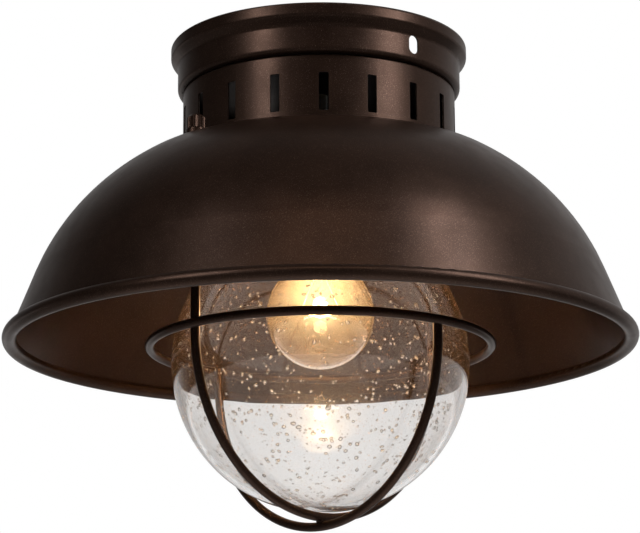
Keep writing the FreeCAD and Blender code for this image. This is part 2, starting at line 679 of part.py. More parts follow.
os.makedirs("parts", exist_ok=True)
for name, shape in parts.items():
    shape.exportStep("parts/" + name + ".step")
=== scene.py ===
import math
import random

import bmesh
import bpy
from mathutils import Matrix, Vector, noise


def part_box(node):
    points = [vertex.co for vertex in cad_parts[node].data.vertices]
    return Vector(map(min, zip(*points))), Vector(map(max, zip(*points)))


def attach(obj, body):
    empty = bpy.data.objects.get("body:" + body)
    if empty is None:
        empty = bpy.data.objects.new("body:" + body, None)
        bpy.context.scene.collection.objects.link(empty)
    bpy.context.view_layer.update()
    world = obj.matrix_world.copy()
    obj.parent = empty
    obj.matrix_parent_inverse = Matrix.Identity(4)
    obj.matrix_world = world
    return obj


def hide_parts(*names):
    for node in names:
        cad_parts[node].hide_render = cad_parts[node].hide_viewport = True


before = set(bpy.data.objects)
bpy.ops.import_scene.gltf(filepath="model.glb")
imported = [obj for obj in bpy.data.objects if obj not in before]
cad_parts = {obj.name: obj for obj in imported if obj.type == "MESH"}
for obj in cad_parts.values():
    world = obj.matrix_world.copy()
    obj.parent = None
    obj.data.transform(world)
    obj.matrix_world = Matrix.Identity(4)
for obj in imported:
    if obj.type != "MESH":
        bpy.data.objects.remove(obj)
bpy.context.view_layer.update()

# A porch ceiling lantern, dressed piece by piece in the order in which it goes together: from the
# strap in the ceiling down to the lamp. Metres, +Z up; the front of the lantern faces -Y.


# ---- mounting strap --------------------------------------------------------------------------
# A pressed steel strap that is screwed across the outlet box, zinc plated: a cool grey metal with
# a faint cloudy spangle and a yellowish cast here and there.

ZINC = (0.56, 0.57, 0.56)
ZINC_CAST = (0.50, 0.48, 0.40)
ZINC_GRAIN = 1.2e-3
ZINC_ROUGH = (0.28, 0.48)
NOISE_LOW, NOISE_HIGH = 0.3, 0.7       # most of a noise lies between these
CAST_WIDTH = 6                         # a blot of the cast, in grains
CAST_REACH = (0.35, 0.68)
GRAIN_DEPTH = 0.02                     # height of the grain, as a share of its width


def new_finish(name):
    """A material whose Principled shader is joined to the output, ready for a pattern."""
    made = bpy.data.materials.new(name)
    made.use_nodes = True
    return made, made.node_tree.nodes["Principled BSDF"]


def put(made, kind, settings=(), **links):
    """Adds a shader node: settings are its options, links fill its sockets with a value or a node."""
    node = made.node_tree.nodes.new("ShaderNode" + kind)
    for option, value in dict(settings).items():
        setattr(node, option, value)
    for socket, value in links.items():
        fill(made, node.inputs[socket.replace("_", " ")], value)
    return node


def fill(made, socket, value):
    """Sets a socket to a value, or joins it to a node's first output or to an output."""
    if isinstance(value, bpy.types.Node):
        value = value.outputs[0]
    if isinstance(value, bpy.types.NodeSocket):
        made.node_tree.links.new(value, socket)
    elif socket.type == "RGBA" and len(value) == 3:
        socket.default_value = (*value, 1.0)
    else:
        socket.default_value = value


def cloud(made, size, detail=4.0, roughness=0.5):
    """Noise whose blots are about the given size in metres, fixed to the object."""
    place = put(made, "TexCoord").outputs["Object"]
    return put(made, "TexNoise", Vector=place, Scale=1.0 / size, Detail=detail, Roughness=roughness)


def between(made, share, dark, light, low=NOISE_LOW, high=NOISE_HIGH):
    """A colour that goes from dark to light as a share goes from low to high."""
    ramp = put(made, "ValToRGB", Fac=share)
    first, last = ramp.color_ramp.elements
    first.position, first.color = low, (*dark, 1.0)
    last.position, last.color = high, (*light, 1.0)
    return ramp


def graded(made, value, start, end, low, high):
    """A number that goes from low to high as a value goes from start to end."""
    return put(made, "MapRange", Value=value, From_Min=start, From_Max=end, To_Min=low, To_Max=high)


def uneven(made, share, low, high):
    """A number that wanders from low to high with a noise."""
    return graded(made, share, NOISE_LOW, NOISE_HIGH, low, high)


def ripple(made, shader, height, depth):
    """Roughens a surface in its normals: depth is the height of the pattern in metres."""
    fill(made, shader.inputs["Normal"], put(made, "Bump", Height=height, Distance=depth, Strength=1.0))


def plated(name, colour, cast, grain, rough):
    """Bright plated or dyed metal with a clouded colour and a fine uneven gloss."""
    made, shader = new_finish(name)
    shader.inputs["Metallic"].default_value = 1.0
    blots = cloud(made, grain * CAST_WIDTH)
    fill(made, shader.inputs["Base Color"], between(made, blots, cast, colour, *CAST_REACH))
    fine = cloud(made, grain, detail=6.0, roughness=0.65)
    fill(made, shader.inputs["Roughness"], uneven(made, fine, *rough))
    ripple(made, shader, fine, grain * GRAIN_DEPTH)
    return made


def dress(name, finish):
    """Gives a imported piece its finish."""
    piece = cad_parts[name]
    if not piece.material_slots:
        piece.data.materials.append(finish)
    for slot in piece.material_slots:
        slot.material = finish


zinc = plated("zinc_plate", ZINC, ZINC_CAST, ZINC_GRAIN, ZINC_ROUGH)
dress("mounting_strap", zinc)


# ---- earth screw -----------------------------------------------------------------------------
# A slotted pan-head screw in the strap, dyed green over its plating. The dye is thin, and darker
# in some places than in others.

GREEN = (0.10, 0.30, 0.14)
GREEN_DARK = (0.04, 0.22, 0.07)
GREEN_GRAIN = 0.8e-3
GREEN_ROUGH = (0.3, 0.5)

dress("ground_screw", plated("green_dyed_steel", GREEN, GREEN_DARK, GREEN_GRAIN, GREEN_ROUGH))


# ---- hollow nipple and its nuts --------------------------------------------------------------
# A steel tube with a running thread that clamps strap, canopy, collar, shade and lampholder
# together. Thin hex nuts and a plain washer sit on it, all zinc plated.

NIPPLE_PITCH = 0.94e-3         # 27 threads to the inch
NIPPLE_THREAD_DEPTH = 0.45e-3
NIPPLE_WALL = 1.45e-3
NIPPLE_SIDES = 48
THREAD_STEPS = 8               # rings of points in one turn of a cut thread
SOFT_EDGE = 35.0               # degrees: an edge that bends more than this stays crisp
THREAD_EDGE = 50.0


def skin(name, rings, loop=False, caps=False, crease=SOFT_EDGE):
    """A mesh through rings of points, each closed on itself; loop also joins last ring to first."""
    mesh = bmesh.new()
    rows = [[mesh.verts.new(point) for point in ring] for ring in rings]
    count = len(rows[0])
    following = rows[1:] + rows[:1] if loop else rows[1:]
    for low, high in zip(rows, following):
        for i in range(count):
            j = (i + 1) % count
            mesh.faces.new((low[i], low[j], high[j], high[i]))
    if caps:
        mesh.faces.new(rows[0][::-1])
        mesh.faces.new(rows[-1])
    bmesh.ops.recalc_face_normals(mesh, faces=mesh.faces)
    return new_piece(name, mesh, crease)


def new_piece(name, mesh, crease=SOFT_EDGE):
    """Turns a finished mesh into an object with smooth shading up to the crease angle."""
    data = bpy.data.meshes.new(name)
    mesh.to_mesh(data)
    mesh.free()
    data.shade_smooth()
    data.set_sharp_from_angle(angle=math.radians(crease))
    piece = bpy.data.objects.new(name, data)
    bpy.context.scene.collection.objects.link(piece)
    return piece


def hang(piece, finish, body):
    """Paints a new piece and hangs it on its body."""
    piece.data.materials.append(finish)
    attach(piece, body)


def turned_ring(radius, z, sides, shape=None, centre=(0.0, 0.0)):
    """Level points round a centre; shape changes the radius with the height and the angle."""
    points = []
    for i in range(sides):
        angle = 2 * math.pi * i / sides
        r = radius + (shape(z, angle) if shape else 0.0)
        points.append((centre[0] + r * math.cos(angle), centre[1] + r * math.sin(angle), z))
    return points


def screw_thread(name, crest, depth, pitch, z_low, z_high, sides, wall=0.0, centre=(0.0, 0.0)):
    """A tube or, without a wall, a rod, with a running right-hand thread outside."""
    def groove(z, angle):
        fade = min(1.0, (z - z_low) / pitch, (z_high - z) / pitch)
        phase = (z / pitch - angle / (2 * math.pi)) % 1.0
        wave = abs(2 * phase - 1)
        return -depth * fade * wave - depth * (1 - fade)

    steps = math.ceil((z_high - z_low) / pitch * THREAD_STEPS)
    levels = [z_low + (z_high - z_low) * k / steps for k in range(steps + 1)]
    rings = [turned_ring(crest, z, sides, groove, centre) for z in levels]
    if not wall:
        return skin(name, rings, caps=True, crease=THREAD_EDGE)
    rings += [turned_ring(crest - wall, z, sides, centre=centre) for z in (z_high, z_low)]
    return skin(name, rings, loop=True, crease=THREAD_EDGE)


low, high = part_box("nipple")
nipple = screw_thread("nipple_thread", high.x, NIPPLE_THREAD_DEPTH, NIPPLE_PITCH, low.z, high.z,
                      NIPPLE_SIDES, wall=NIPPLE_WALL)
hang(nipple, zinc, "fixture")
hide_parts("nipple")
for name in ("strap_nut", "canopy_lock_washer", "canopy_nut", "holder_nut"):
    dress(name, zinc)


# ---- canopy, collar and shade ----------------------------------------------------------------
# Drawn and spun sheet steel under a satin powder coat: an almost black brown, with a bronze fleck
# that only shows as a fine sparkle and a slight orange peel.

BRONZE_DEEP = (0.029, 0.0158, 0.0110)
BRONZE_WARM = (0.040, 0.0215, 0.0148)
BRONZE_BLOTS = 30e-3
BRONZE_METAL = 0.7
BRONZE_SHEEN = 0.25
BRONZE_SHEEN_TINT = (0.7, 0.68, 0.67)
BRONZE_ROUGH = (0.29, 0.36)
BRONZE_ROUGH_BLOTS = 12e-3
FLECK = (0.18, 0.115, 0.088)
FLECK_SIZE = 0.36e-3
FLECK_REACH = (0.60, 0.74)
PEEL_SIZE = 1.6e-3
PEEL_DEPTH = 0.02e-3


def painted_over(made, share, under, over):
    """One colour over another: the share is how much of the upper one shows."""
    mix = put(made, "Mix", {"data_type": "RGBA"}, Factor=share, A=under, B=over)
    return mix.outputs["Result"]


def bronze_coat(name):
    """Satin bronze powder coat with a fine metallic fleck."""
    made, shader = new_finish(name)
    ground = between(made, cloud(made, BRONZE_BLOTS, detail=3.0), BRONZE_DEEP, BRONZE_WARM)
    grain = cloud(made, FLECK_SIZE, detail=2.0, roughness=0.6)
    fleck = between(made, grain, (0, 0, 0), (1, 1, 1), *FLECK_REACH)
    fill(made, shader.inputs["Base Color"], painted_over(made, fleck, ground, FLECK))
    shader.inputs["Metallic"].default_value = BRONZE_METAL
    shader.inputs["Specular IOR Level"].default_value = BRONZE_SHEEN
    shader.inputs["Specular Tint"].default_value = (*BRONZE_SHEEN_TINT, 1.0)
    rubbed = cloud(made, BRONZE_ROUGH_BLOTS, detail=5.0)
    fill(made, shader.inputs["Roughness"], uneven(made, rubbed, *BRONZE_ROUGH))
    ripple(made, shader, cloud(made, PEEL_SIZE, detail=3.0), PEEL_DEPTH)
    return made


bronze = bronze_coat("bronze_powder_coat")
for name in ("canopy", "shade"):
    dress(name, bronze)

# Painted highlight: the punched edges of the vents are given a lighter colour, standing in for the
# light that those edges catch. The edges are told from the faces by their distance from the axis: they
# lie inside the sheet.

COLLAR_WALL = 1.0e-3
EDGE_DEPTH = COLLAR_WALL * 0.66
EDGE_HALF_WIDTH = COLLAR_WALL * 0.25
EDGE_HIGHLIGHT = (0.20, 0.155, 0.135)


def worked_out(made, operation, *values, kind="Math"):
    """A number or a vector that is worked out from up to three others."""
    node = put(made, kind, {"operation": operation})
    for socket, value in zip(node.inputs, values):
        fill(made, socket, value)
    return node


collar_coat = bronze_coat("bronze_coat_painted_edge_highlight")
place = put(collar_coat, "TexCoord").outputs["Object"]
level = worked_out(collar_coat, "MULTIPLY", place, (1.0, 1.0, 0.0), kind="VectorMath")
reach = worked_out(collar_coat, "LENGTH", level, kind="VectorMath").outputs["Value"]
low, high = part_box("vented_collar")
on_edge = worked_out(collar_coat, "COMPARE", reach, high.x - EDGE_DEPTH, EDGE_HALF_WIDTH)
coat_colour = collar_coat.node_tree.nodes["Principled BSDF"].inputs["Base Color"]
# The painted highlight colour goes over the coat on the vent edges only.
lit_edges = painted_over(collar_coat, on_edge, coat_colour.links[0].from_socket, EDGE_HIGHLIGHT)
fill(collar_coat, coat_colour, lit_edges)
dress("vented_collar", collar_coat)


# ---- wire guard ------------------------------------------------------------------------------
# Two bent steel wires and a ring, spot welded where they cross and coated like the shade. The
# long hoop's ends carry stop collars and are threaded, and pass up through the crown.

WIRE_R = 2.5e-3
WIRE_SIDES = 24
HOOP_R = 90.45e-3
BEND_STEPS = 120
LEG_STEPS = 8
LONG_TURN = math.radians(43)
SHORT_TURN = math.radians(-47)
PAD_THICKNESS = 3.0e-3
STUD_R = 2.08e-3
STUD_PITCH = 0.7938e-3         # 32 threads to the inch
STUD_THREAD_DEPTH = 0.36e-3
STUD_SIDES = 28
STOP_R = 4.6e-3
STOP_BORE = WIRE_R * 0.9       # a stop starts a little inside its wire
STOP_THICKNESS = 1.6e-3
STOP_ROUND = 0.35e-3
STOP_SIDES = 40
STOP_OUTLINE = ((STOP_BORE, 0), (STOP_R - STOP_ROUND, 0), (STOP_R, STOP_ROUND),
                (STOP_R, STOP_THICKNESS - STOP_ROUND), (STOP_R - STOP_ROUND, STOP_THICKNESS),
                (STOP_BORE, STOP_THICKNESS))
UP = Vector((0, 0, 1))


def outwards(turn):
    """The level direction at an angle round the lantern's axis."""
    return Vector((math.cos(turn), math.sin(turn), 0))


def swept_wire(name, points, across):
    """A round wire along points that lie in one plane; across is that plane's normal."""
    angles = [2 * math.pi * i / WIRE_SIDES for i in range(WIRE_SIDES)]
    up = across * WIRE_R
    rings = []
    for k, point in enumerate(points):
        along = points[min(k + 1, len(points) - 1)] - points[max(k - 1, 0)]
        side = along.cross(across).normalized() * WIRE_R
        rings.append([point + side * math.cos(angle) + up * math.sin(angle) for angle in angles])
    return skin(name, rings, caps=True)


def bent_wire(name, turn, z_low, z_end):
    """A wire bent to half a circle with two upright legs, at an angle round the lantern's axis."""
    out = outwards(turn)
    z_bend = z_low + WIRE_R + HOOP_R
    rise = z_end - z_bend
    points = [out * HOOP_R + UP * (z_end - rise * i / LEG_STEPS) for i in range(LEG_STEPS)]
    for i in range(BEND_STEPS + 1):
        angle = math.pi * i / BEND_STEPS
        points.append(out * HOOP_R * math.cos(angle) + UP * (z_bend - HOOP_R * math.sin(angle)))
    points += [UP * (z_bend + rise * (i + 1) / LEG_STEPS) - out * HOOP_R for i in range(LEG_STEPS)]
    return swept_wire(name, points, out.cross(UP))


z_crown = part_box("stud_washer_front")[0].z
z_pad = z_crown - PAD_THICKNESS
long_low, long_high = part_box("guard_hoop_long")
short_low, short_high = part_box("guard_hoop_short")
ring_low, ring_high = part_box("guard_ring")
long_wire = bent_wire("long_guard_wire", LONG_TURN, long_low.z, z_pad)
short_wire = bent_wire("short_guard_wire", SHORT_TURN, short_low.z, short_high.z)
for wire in (long_wire, short_wire):
    hang(wire, bronze, "guard")
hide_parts("guard_hoop_long")
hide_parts("guard_hoop_short")
for name, side in (("front", -1), ("back", 1)):
    foot = (side * HOOP_R * math.cos(LONG_TURN), side * HOOP_R * math.sin(LONG_TURN))
    stud = screw_thread(f"{name}_stud_thread", STUD_R, STUD_THREAD_DEPTH, STUD_PITCH, z_pad,
                        long_high.z, STUD_SIDES, centre=foot)
    rings = [turned_ring(r, z_pad - drop, STOP_SIDES, centre=foot) for r, drop in STOP_OUTLINE]
    stop = skin(f"{name}_stop_collar", rings, caps=True)
    for piece in (stud, stop):
        hang(piece, bronze, "guard")
dress("guard_ring", bronze)

# The welds: small smooth beads where the ring lies against the four legs and where the hoops
# cross at the bottom, under the same coat.

WELD_LENGTH = 1.7e-3
WELD_THROAT = 1.0e-3
WELD_REACH = WIRE_R * 0.72     # from the middle of a leg to the beads beside it
CROSS_REACH = WIRE_R * 0.62    # from the axis to the beads where the hoops cross
WELD_SIZE = 0.88
WELD_SWELL = 0.10
WELD_LUMPS = 1.8
WELD_SHIFT = 400               # moves each bead to a place of its own in the noise
WELD_EDGE = 60.0


def weld_beads(name, places):
    """Rounded, slightly uneven beads of weld; each place is a centre, a turn and three half sizes."""
    mesh = bmesh.new()
    for centre, turn, sizes in places:
        spot = (Matrix.Translation(centre) @ Matrix.Rotation(turn, 4, "Z")
                @ Matrix.Diagonal((*sizes, 1.0)))
        bead = bmesh.ops.create_icosphere(mesh, subdivisions=3, radius=1.0)
        for vert in bead["verts"]:
            lump = noise.noise(vert.co * WELD_LUMPS + centre * WELD_SHIFT)
            vert.co = spot @ (vert.co * (WELD_SIZE + WELD_SWELL * lump))
    return new_piece(name, mesh, WELD_EDGE)


z_ring = (ring_low.z + ring_high.z) / 2
places = []
for turn in (LONG_TURN, SHORT_TURN, LONG_TURN + math.pi, SHORT_TURN + math.pi):
    out = outwards(turn)
    for side in (-1, 1):
        beside = Vector((-out.y, out.x, 0)) * side * WELD_REACH
        centre = out * (HOOP_R + WELD_REACH) + beside + UP * z_ring
        places.append((centre, turn, (WELD_THROAT, WELD_THROAT, WELD_LENGTH)))
for k in range(4):
    turn = LONG_TURN + math.pi / 4 + k * math.pi / 2
    centre = outwards(turn) * CROSS_REACH + UP * long_low.z
    places.append((centre, turn, (WELD_LENGTH, WELD_LENGTH, WELD_THROAT)))
welds = weld_beads("guard_welds", places)
hang(welds, bronze, "guard")


# ---- thumb nuts ------------------------------------------------------------------------------
# Small knurled steel nuts on plain washers that hold the guard up, screwed on by hand and coated
# like the rest.

for name in ("thumb_nut_front", "thumb_nut_back", "stud_washer_front", "stud_washer_back"):
    dress(name, bronze)


# ---- gasket ----------------------------------------------------------------------------------
# A flat ring punched from black rubber that lies between the crown and the globe's lip. It has a
# dull, finely pitted surface.

RUBBER_DARK = (0.010, 0.010, 0.010)
RUBBER_PALE = (0.024, 0.023, 0.022)
RUBBER_BLOTS = 4e-3
RUBBER_ROUGH = (0.65, 0.85)
RUBBER_ROUGH_BLOTS = 2e-3
RUBBER_PITS = 0.6e-3
RUBBER_PIT_DEPTH = 0.03e-3


def moulded(name, dark, light, blots, rough, rough_blots):
    """A moulded or fired material: a mottled colour with an uneven gloss."""
    made, shader = new_finish(name)
    fill(made, shader.inputs["Base Color"], between(made, cloud(made, blots), dark, light))
    fill(made, shader.inputs["Roughness"], uneven(made, cloud(made, rough_blots), *rough))
    return made, shader


rubber, shader = moulded("gasket_rubber", RUBBER_DARK, RUBBER_PALE, RUBBER_BLOTS, RUBBER_ROUGH,
                         RUBBER_ROUGH_BLOTS)
ripple(rubber, shader, cloud(rubber, RUBBER_PITS), RUBBER_PIT_DEPTH)
dress("glass_gasket", rubber)


# ---- globe -----------------------------------------------------------------------------------
# A mouth-blown ball of clear glass, 3 mm thick, whose wall is full of small bubbles, or seeds.
# It stands on the guard's hoops. The wall runs slightly wavy, as blown glass does.

GLASS = (0.905, 0.908, 0.905)
GLASS_INDEX = 1.47
GLASS_SHADE = 0.985            # the darker blots of a glass, as a share of its tint
GLASS_BLOTS = 50e-3
GLOBE_WALL = 3.0e-3
GLOBE_SIDES = 192
GLOBE_STEPS = 84
GLOBE_SPACING = 2.2e-3
GLOBE_EDGE = 60.0
GLOBE_WAVE = 0.10e-3
GLOBE_WAVE_LENGTH = 22e-3
INSIDE_WAVE, OUTSIDE_WAVE = 0.0, 7.0   # where the two faces of the wall lie in the noise
NECK_ROUND = 20e-3
CONE = math.radians(45)
NECK_R = 50e-3
LIP_HEIGHT = 4.0e-3
LIP_PROUD = 3.0e-3
LIP_ROUND = 1.2e-3
LIP_EASE = 0.6e-3
LIP_STEPS = 6
POLE_R = 1e-7                  # the last ring of points before they are joined at the pole
POLE_JOIN = 1e-6


def surface_of(made):
    """The socket that a material's last shader goes into."""
    return made.node_tree.nodes["Material Output"].inputs["Surface"]


def mixed(made, share, under, over):
    """Two shaders in one: the share is how much of the upper one shows."""
    mix = put(made, "MixShader", Fac=share)
    fill(made, mix.inputs[1], under)
    fill(made, mix.inputs[2], over)
    return mix


def lay_over(made, share, shader):
    """Lets a share of one more shader show over what a material has so far."""
    so_far = surface_of(made).links[0].from_socket
    fill(made, surface_of(made), mixed(made, share, so_far, shader))


def clear_glass(name, tint, index, rough):
    """Clear glass that lets lamplight through to what it surrounds."""
    made, shader = new_finish(name)
    shader.inputs["Transmission Weight"].default_value = 1.0
    shader.inputs["IOR"].default_value = index
    shader.inputs["Roughness"].default_value = rough
    darker = [part * GLASS_SHADE for part in tint]
    fill(made, shader.inputs["Base Color"], between(made, cloud(made, GLASS_BLOTS), darker, tint))
    lay_over(made, put(made, "LightPath").outputs["Is Shadow Ray"],
             put(made, "BsdfTransparent", Color=tint))
    return made


def arc(centre_r, centre_z, r, start, end, steps):
    """Points of an arc in the half plane (radius, z), angles in radians from +radius."""
    turns = [start + (end - start) * i / steps for i in range(steps + 1)]
    return [(centre_r + r * math.cos(turn), centre_z + r * math.sin(turn)) for turn in turns]


def blown_outline(ball_r, z_ball, neck_r, neck_round, z_top):
    """From the neck's top down over shoulder, cone and ball to the pole."""
    z_corner = z_ball + ball_r * math.tan(CONE / 2) + (ball_r - neck_r) / math.tan(CONE)
    z_neck = z_corner + neck_round * math.tan(CONE / 2)
    points = [(neck_r, z_top), (neck_r, z_neck)]
    points += arc(neck_r + neck_round, z_neck, neck_round, math.pi, math.pi + CONE,
                  GLOBE_STEPS // 6)[1:]
    points += arc(0.0, z_ball, ball_r, CONE, -math.pi / 2, GLOBE_STEPS)
    return points


def evened_out(points, spacing):
    """The same outline with no step longer than the spacing."""
    out = [points[0]]
    for (r0, z0), (r1, z1) in zip(points, points[1:]):
        pieces = max(1, math.ceil(math.hypot(r1 - r0, z1 - z0) / spacing))
        out += [(r0 + (r1 - r0) * i / pieces, z0 + (z1 - z0) * i / pieces)
                for i in range(1, pieces + 1)]
    return out


globe_low, globe_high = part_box("glass_globe")
globe_r = globe_high.x
z_globe = globe_low.z + globe_r
z_lip = globe_high.z
outside = evened_out(blown_outline(globe_r, z_globe, NECK_R, NECK_ROUND, z_lip - LIP_HEIGHT),
                     GLOBE_SPACING)
inside = evened_out(blown_outline(globe_r - GLOBE_WALL, z_globe, NECK_R - GLOBE_WALL,
                                  NECK_ROUND + GLOBE_WALL, z_lip), GLOBE_SPACING)
lip_r = NECK_R + LIP_PROUD - LIP_ROUND
lip = [(NECK_R - GLOBE_WALL + LIP_EASE, z_lip)]
lip += arc(lip_r, z_lip - LIP_ROUND, LIP_ROUND, math.pi / 2, 0.0, LIP_STEPS)
lip += arc(lip_r, z_lip - LIP_HEIGHT + LIP_ROUND, LIP_ROUND, 0.0, -math.pi / 2, LIP_STEPS)
outline = inside[::-1] + lip + outside


def wavy(point, start):
    """Draws a point of blown glass in towards the ball's middle by a slow, smooth wave."""
    r = math.hypot(point[0], point[1])
    if r < POLE_JOIN:
        return point
    value = noise.noise(Vector(point) / GLOBE_WAVE_LENGTH + Vector((start, 0, 0)))
    pull = GLOBE_WAVE * (0.5 + 0.5 * max(-1.0, min(1.0, value)))
    z_pull = pull * (point[2] - z_globe) / globe_r
    return (point[0] * (1 - pull / r), point[1] * (1 - pull / r), point[2] - z_pull)


rings = []
for k, (r, z) in enumerate(outline):
    start = INSIDE_WAVE if k < len(inside) else OUTSIDE_WAVE
    rings.append([wavy(point, start) for point in turned_ring(max(r, POLE_R), z, GLOBE_SIDES)])
globe = skin("seeded_glass_globe", rings, crease=GLOBE_EDGE)
joined = bmesh.new()
joined.from_mesh(globe.data)
bmesh.ops.remove_doubles(joined, verts=joined.verts, dist=POLE_JOIN)
bmesh.ops.recalc_face_normals(joined, faces=joined.faces)
joined.to_mesh(globe.data)
joined.free()
globe.data.shade_smooth()

# Blown glass is never quite clear: the finest bubbles catch the lamplight as a warm mist with
# pin-points in it, and the skin has a faint glare and sheen of its own.

MIST = (1.0, 0.56, 0.27)
MIST_SHARE = 0.009
PIN_POINT = 0.30e-3
PIN_POINT_SPACE = 2.5e-3
PIN_POINT_SHARE = 0.45
PIN_POINT_MIDDLE = 0.6         # a pin-point is evenly bright out to this share of its radius
GLOBE_GLARE = (1.0, 0.9, 0.75)
GLOBE_GLARE_SHARE = 0.0015
GLOBE_GLARE_ROUGH = 0.9
GLARE_INDEX = 2.5
GLOBE_SHEEN = (1.0, 0.97, 0.92)
GLOBE_SHEEN_SHARE = 0.012
GLOBE_SHEEN_ROUGH = 0.08


def pin_points(made, plain, radius, space, share):
    """A share that is high in pin-points strewn through a piece and plain between them."""
    place = put(made, "TexCoord").outputs["Object"]
    cells = put(made, "TexVoronoi", Vector=place, Scale=1 / space)
    reach = radius / space
    return graded(made, cells.outputs["Distance"], reach * PIN_POINT_MIDDLE, reach, share, plain)


globe_glass = clear_glass("clear_blown_glass", GLASS, GLASS_INDEX, 0.0)
lay_over(globe_glass, GLOBE_GLARE_SHARE,
         put(globe_glass, "BsdfRefraction", Color=GLOBE_GLARE, Roughness=GLOBE_GLARE_ROUGH,
             IOR=GLARE_INDEX))
lay_over(globe_glass, GLOBE_SHEEN_SHARE,
         put(globe_glass, "BsdfGlossy", Color=GLOBE_SHEEN, Roughness=GLOBE_SHEEN_ROUGH))
lay_over(globe_glass,
         pin_points(globe_glass, MIST_SHARE, PIN_POINT, PIN_POINT_SPACE, PIN_POINT_SHARE),
         put(globe_glass, "BsdfTranslucent", Color=MIST))
hang(globe, globe_glass, "guard")
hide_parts("glass_globe")

# The seeds: air bubbles shut in the wall. Most are round, the larger ones are drawn out a little.
# Each has a painted grey rim round a clear middle, a painted shade that stands in for the dim room
# seen in a bubble's edge, with a gleam of the lamp in it.

SEED_COUNT = 1500
SEED_SMALLEST = 0.45e-3
SEED_TYPICAL = 0.32e-3
SEED_LARGEST = 1.2e-3
SEED_FLATNESS = 0.55
SEED_COVER = 0.3e-3            # the least glass between a seed and either face of the wall
SEED_DRAWN = 0.4
SEED_DRAWN_FROM = 0.6e-3
SEED_AIR = (0.97, 0.97, 0.97)
SEED_AIR_BLOTS = 3e-3
SEED_RIM_SHADE = (0.50, 0.49, 0.48)
SEED_RIM_SHADE_REACH = (0.40, 0.62)
SEED_CLARITY = 0.45
SEED_ROUGH = 0.10
SEED_GLEAM = (1.0, 0.95, 0.88)
SEED_GLEAM_SHARE = 0.26
SEED_GLEAM_ROUGH = 0.22

air, shader = new_finish("seed_air")
open_air = put(air, "BsdfTransparent", Color=(1, 1, 1))
fill(air, surface_of(air), open_air)
air.node_tree.nodes.remove(shader)
# Painted shade: a grey, see-through rim darkens each seed towards its edge.
slope = put(air, "LayerWeight", Blend=0.5).outputs["Facing"]
lay_over(air, between(air, slope, (0, 0, 0), (1, 1, 1), *SEED_RIM_SHADE_REACH),
         put(air, "BsdfTransparent", Color=SEED_RIM_SHADE))
tint = between(air, cloud(air, SEED_AIR_BLOTS), SEED_AIR, (1, 1, 1))
lay_over(air, SEED_CLARITY,
         put(air, "BsdfGlass", Color=tint, IOR=1 / GLASS_INDEX, Roughness=SEED_ROUGH))
lay_over(air, SEED_GLEAM_SHARE,
         put(air, "BsdfGlossy", Color=SEED_GLEAM, Roughness=SEED_GLEAM_ROUGH))
lay_over(air, put(air, "LightPath").outputs["Is Shadow Ray"], open_air)

random.seed(20)
ball = bmesh.new()
bmesh.ops.create_icosphere(ball, subdivisions=2, radius=1.0)
ball_points = [vert.co.copy() for vert in ball.verts]
ball_faces = [[vert.index for vert in face.verts] for face in ball.faces]
ball.free()
seed_points, seed_faces = [], []
for i in range(SEED_COUNT):
    up = random.uniform(-1.0, math.sin(CONE))
    turn = random.uniform(0, 2 * math.pi)
    level = math.sqrt(1 - up * up)
    out = Vector((level * math.cos(turn), level * math.sin(turn), up))
    size = min(SEED_LARGEST, SEED_SMALLEST + random.expovariate(1 / SEED_TYPICAL))
    thick = min(size * SEED_FLATNESS, GLOBE_WALL / 4)
    depth = random.uniform(thick + SEED_COVER, GLOBE_WALL - thick - SEED_COVER)
    drawn = 1.0 + random.uniform(0.0, SEED_DRAWN) * (size > SEED_DRAWN_FROM)
    place = (Matrix.Translation(UP * z_globe + out * (globe_r - depth))
             @ out.to_track_quat("Z", "Y").to_matrix().to_4x4()
             @ Matrix.Rotation(random.uniform(0, math.pi), 4, "Z")
             @ Matrix.Diagonal((size, size * drawn, thick, 1.0)))
    first = len(seed_points)
    seed_points += [place @ point for point in ball_points]
    seed_faces += [[first + k for k in face] for face in ball_faces]
seed_data = bpy.data.meshes.new("globe_seeds")
seed_data.from_pydata(seed_points, [], seed_faces)
seed_data.shade_smooth()
seeds = bpy.data.objects.new("globe_seeds", seed_data)
bpy.context.scene.collection.objects.link(seeds)
hang(seeds, air, "guard")


# ---- lampholder ------------------------------------------------------------------------------
# A white glazed porcelain cup under a plated steel cap. Brass parts carry the current: the screw
# shell that takes the lamp, its centre contact and the two side screws.

GLAZE_DARK = (0.72, 0.70, 0.65)
GLAZE_LIGHT = (0.80, 0.79, 0.76)
GLAZE_BLOTS = 8e-3
GLAZE_ROUGH = (0.12, 0.25)
GLAZE_ROUGH_BLOTS = 10e-3
GLAZE_COAT = 0.6
GLAZE_WAVE = 5e-3
GLAZE_WAVE_DEPTH = 0.03e-3
BRASS = (0.72, 0.50, 0.20)
BRASS_DULL = (0.52, 0.34, 0.14)
BRASS_GRAIN = 1.2e-3
BRASS_ROUGH = (0.25, 0.42)
LAMP_PITCH = 3.6286e-3         # 7 threads to the inch
LAMP_THREAD_DEPTH = 0.28e-3
LAMP_THREAD_RUNOUT = 0.3       # turns left plain at the top of a rolled thread
ROLLED_STEPS = 14              # rings of points in one turn of a rolled thread
ROLLED_SIDES = 96
SHELL_EYE_R = 8.0e-3
SHELL_WALL = 0.4e-3

porcelain, shader = moulded("glazed_porcelain", GLAZE_DARK, GLAZE_LIGHT, GLAZE_BLOTS, GLAZE_ROUGH,
                            GLAZE_ROUGH_BLOTS)
shader.inputs["Coat Weight"].default_value = GLAZE_COAT
ripple(porcelain, shader, cloud(porcelain, GLAZE_WAVE), GLAZE_WAVE_DEPTH)
dress("holder_body", porcelain)
dress("holder_cap", zinc)
brass = plated("plain_brass", BRASS, BRASS_DULL, BRASS_GRAIN, BRASS_ROUGH)
for name in ("centre_contact", "terminal_screw_right", "terminal_screw_left"):
    dress(name, brass)


